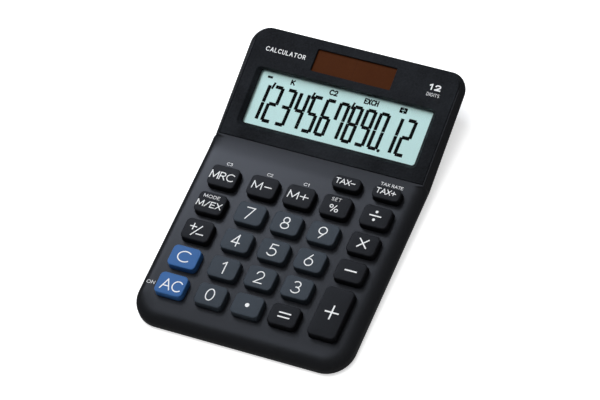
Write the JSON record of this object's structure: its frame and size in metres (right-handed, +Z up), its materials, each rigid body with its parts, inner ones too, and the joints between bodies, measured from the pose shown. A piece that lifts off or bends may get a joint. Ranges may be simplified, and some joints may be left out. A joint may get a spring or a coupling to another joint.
{
  "type": "pocket calculator",
  "caption": "Small desk calculator with a tilted liquid-crystal display, a solar cell, a flat key deck with sprung keys, and a screwed battery door underneath.",
  "frame": {"origin": "middle of the body in plan, at the level of the table under the rubber feet", "axes": "+X to the right across the keys, +Y from the front edge to the display, +Z up"},
  "size_m": [0.1036, 0.147, 0.0225],
  "materials": {
    "case_plastic": "satin",
    "panel_plastic": "fine grain",
    "window_acrylic": "clear",
    "liquid_crystal_glass": "pale reflective display",
    "inner_plastic": "natural",
    "printed_film": "printed film",
    "solar_glass": "dark brown",
    "board_laminate": "laminate",
    "silicone": "matte",
    "epoxy": "glossy blob",
    "capacitor_sleeve": "shrink sleeve",
    "bright_steel": "nickel plated",
    "red_lead": "insulation",
    "black_lead": "insulation",
    "foot_rubber": "matte",
    "grey_key_plastic": "satin",
    "blue_key_plastic": "satin",
    "black_key_plastic": "satin"
  },
  "bodies": {
    "case": {"upper_case": "case_plastic", "lower_case": "case_plastic", "battery_door": "case_plastic", "display_panel": "panel_plastic", "display_window": "window_acrylic", "lcd_glass": "liquid_crystal_glass", "lcd_frame": "inner_plastic", "lcd_connector": "printed_film", "solar_cell": "solar_glass", "main_board": "board_laminate", "rubber_dome_mat": "silicone", "controller_chip": "epoxy", "power_capacitor": "capacitor_sleeve", "battery_cell": "bright_steel", "battery_contact_positive": "bright_steel", "battery_contact_negative": "bright_steel", "battery_door_screw": "bright_steel", "solar_lead_positive": "red_lead", "solar_lead_negative": "black_lead", "rubber_foot_1": "foot_rubber", "case_screw_1": "bright_steel", "board_screw_1": "bright_steel", "rubber_foot_2": "foot_rubber", "case_screw_2": "bright_steel", "board_screw_2": "bright_steel", "rubber_foot_3": "foot_rubber", "case_screw_3": "bright_steel", "board_screw_3": "bright_steel", "rubber_foot_4": "foot_rubber", "case_screw_4": "bright_steel", "board_screw_4": "bright_steel"},
    "key_all_clear": {"key_all_clear": "blue_key_plastic"},
    "key_0": {"key_0": "grey_key_plastic"},
    "key_point": {"key_point": "grey_key_plastic"},
    "key_equals": {"key_equals": "black_key_plastic"},
    "key_clear": {"key_clear": "blue_key_plastic"},
    "key_1": {"key_1": "grey_key_plastic"},
    "key_2": {"key_2": "grey_key_plastic"},
    "key_3": {"key_3": "grey_key_plastic"},
    "key_sign": {"key_sign": "black_key_plastic"},
    "key_4": {"key_4": "grey_key_plastic"},
    "key_5": {"key_5": "grey_key_plastic"},
    "key_6": {"key_6": "grey_key_plastic"},
    "key_minus": {"key_minus": "black_key_plastic"},
    "key_exchange": {"key_exchange": "black_key_plastic"},
    "key_7": {"key_7": "grey_key_plastic"},
    "key_8": {"key_8": "grey_key_plastic"},
    "key_9": {"key_9": "grey_key_plastic"},
    "key_multiply": {"key_multiply": "black_key_plastic"},
    "key_memory_recall": {"key_memory_recall": "black_key_plastic"},
    "key_memory_minus": {"key_memory_minus": "black_key_plastic"},
    "key_memory_plus": {"key_memory_plus": "black_key_plastic"},
    "key_percent": {"key_percent": "black_key_plastic"},
    "key_divide": {"key_divide": "black_key_plastic"},
    "key_tax_minus": {"key_tax_minus": "black_key_plastic"},
    "key_tax_plus": {"key_tax_plus": "black_key_plastic"},
    "key_plus": {"key_plus": "black_key_plastic"}
  },
  "joints": [
    {"name": "press_all_clear", "type": "slide", "parent": "case", "child": "key_all_clear", "axis": [0, 0.0305, -0.9995], "range_m": [0, 0.0011], "stiffness_N_per_m": 400, "springref_m": -0.0005, "deforming": ["rubber_dome_mat"]},
    {"name": "press_0", "type": "slide", "parent": "case", "child": "key_0", "axis": [0, 0.0305, -0.9995], "range_m": [0, 0.0011], "stiffness_N_per_m": 400, "springref_m": -0.0005, "deforming": ["rubber_dome_mat"]},
    {"name": "press_point", "type": "slide", "parent": "case", "child": "key_point", "axis": [0, 0.0305, -0.9995], "range_m": [0, 0.0011], "stiffness_N_per_m": 400, "springref_m": -0.0005, "deforming": ["rubber_dome_mat"]},
    {"name": "press_equals", "type": "slide", "parent": "case", "child": "key_equals", "axis": [0, 0.0305, -0.9995], "range_m": [0, 0.0011], "stiffness_N_per_m": 400, "springref_m": -0.0005, "deforming": ["rubber_dome_mat"]},
    {"name": "press_clear", "type": "slide", "parent": "case", "child": "key_clear", "axis": [0, 0.0305, -0.9995], "range_m": [0, 0.0011], "stiffness_N_per_m": 400, "springref_m": -0.0005, "deforming": ["rubber_dome_mat"]},
    {"name": "press_1", "type": "slide", "parent": "case", "child": "key_1", "axis": [0, 0.0305, -0.9995], "range_m": [0, 0.0011], "stiffness_N_per_m": 400, "springref_m": -0.0005, "deforming": ["rubber_dome_mat"]},
    {"name": "press_2", "type": "slide", "parent": "case", "child": "key_2", "axis": [0, 0.0305, -0.9995], "range_m": [0, 0.0011], "stiffness_N_per_m": 400, "springref_m": -0.0005, "deforming": ["rubber_dome_mat"]},
    {"name": "press_3", "type": "slide", "parent": "case", "child": "key_3", "axis": [0, 0.0305, -0.9995], "range_m": [0, 0.0011], "stiffness_N_per_m": 400, "springref_m": -0.0005, "deforming": ["rubber_dome_mat"]},
    {"name": "press_sign", "type": "slide", "parent": "case", "child": "key_sign", "axis": [0, 0.0305, -0.9995], "range_m": [0, 0.0011], "stiffness_N_per_m": 400, "springref_m": -0.0005, "deforming": ["rubber_dome_mat"]},
    {"name": "press_4", "type": "slide", "parent": "case", "child": "key_4", "axis": [0, 0.0305, -0.9995], "range_m": [0, 0.0011], "stiffness_N_per_m": 400, "springref_m": -0.0005, "deforming": ["rubber_dome_mat"]},
    {"name": "press_5", "type": "slide", "parent": "case", "child": "key_5", "axis": [0, 0.0305, -0.9995], "range_m": [0, 0.0011], "stiffness_N_per_m": 400, "springref_m": -0.0005, "deforming": ["rubber_dome_mat"]},
    {"name": "press_6", "type": "slide", "parent": "case", "child": "key_6", "axis": [0, 0.0305, -0.9995], "range_m": [0, 0.0011], "stiffness_N_per_m": 400, "springref_m": -0.0005, "deforming": ["rubber_dome_mat"]},
    {"name": "press_minus", "type": "slide", "parent": "case", "child": "key_minus", "axis": [0, 0.0305, -0.9995], "range_m": [0, 0.0011], "stiffness_N_per_m": 400, "springref_m": -0.0005, "deforming": ["rubber_dome_mat"]},
    {"name": "press_exchange", "type": "slide", "parent": "case", "child": "key_exchange", "axis": [0, 0.0305, -0.9995], "range_m": [0, 0.0011], "stiffness_N_per_m": 400, "springref_m": -0.0005, "deforming": ["rubber_dome_mat"]},
    {"name": "press_7", "type": "slide", "parent": "case", "child": "key_7", "axis": [0, 0.0305, -0.9995], "range_m": [0, 0.0011], "stiffness_N_per_m": 400, "springref_m": -0.0005, "deforming": ["rubber_dome_mat"]},
    {"name": "press_8", "type": "slide", "parent": "case", "child": "key_8", "axis": [0, 0.0305, -0.9995], "range_m": [0, 0.0011], "stiffness_N_per_m": 400, "springref_m": -0.0005, "deforming": ["rubber_dome_mat"]},
    {"name": "press_9", "type": "slide", "parent": "case", "child": "key_9", "axis": [0, 0.0305, -0.9995], "range_m": [0, 0.0011], "stiffness_N_per_m": 400, "springref_m": -0.0005, "deforming": ["rubber_dome_mat"]},
    {"name": "press_multiply", "type": "slide", "parent": "case", "child": "key_multiply", "axis": [0, 0.0305, -0.9995], "range_m": [0, 0.0011], "stiffness_N_per_m": 400, "springref_m": -0.0005, "deforming": ["rubber_dome_mat"]},
    {"name": "press_memory_recall", "type": "slide", "parent": "case", "child": "key_memory_recall", "axis": [0, 0.0305, -0.9995], "range_m": [0, 0.0011], "stiffness_N_per_m": 400, "springref_m": -0.0005, "deforming": ["rubber_dome_mat"]},
    {"name": "press_memory_minus", "type": "slide", "parent": "case", "child": "key_memory_minus", "axis": [0, 0.0305, -0.9995], "range_m": [0, 0.0011], "stiffness_N_per_m": 400, "springref_m": -0.0005, "deforming": ["rubber_dome_mat"]},
    {"name": "press_memory_plus", "type": "slide", "parent": "case", "child": "key_memory_plus", "axis": [0, 0.0305, -0.9995], "range_m": [0, 0.0011], "stiffness_N_per_m": 400, "springref_m": -0.0005, "deforming": ["rubber_dome_mat"]},
    {"name": "press_percent", "type": "slide", "parent": "case", "child": "key_percent", "axis": [0, 0.0305, -0.9995], "range_m": [0, 0.0011], "stiffness_N_per_m": 400, "springref_m": -0.0005, "deforming": ["rubber_dome_mat"]},
    {"name": "press_divide", "type": "slide", "parent": "case", "child": "key_divide", "axis": [0, 0.0305, -0.9995], "range_m": [0, 0.0011], "stiffness_N_per_m": 400, "springref_m": -0.0005, "deforming": ["rubber_dome_mat"]},
    {"name": "press_tax_minus", "type": "slide", "parent": "case", "child": "key_tax_minus", "axis": [0, 0.0305, -0.9995], "range_m": [0, 0.0011], "stiffness_N_per_m": 400, "springref_m": -0.0005, "deforming": ["rubber_dome_mat"]},
    {"name": "press_tax_plus", "type": "slide", "parent": "case", "child": "key_tax_plus", "axis": [0, 0.0305, -0.9995], "range_m": [0, 0.0011], "stiffness_N_per_m": 400, "springref_m": -0.0005, "deforming": ["rubber_dome_mat"]},
    {"name": "press_plus", "type": "slide", "parent": "case", "child": "key_plus", "axis": [0, 0.0305, -0.9995], "range_m": [0, 0.0011], "stiffness_N_per_m": 400, "springref_m": -0.0005, "deforming": ["rubber_dome_mat"]}
  ]
}
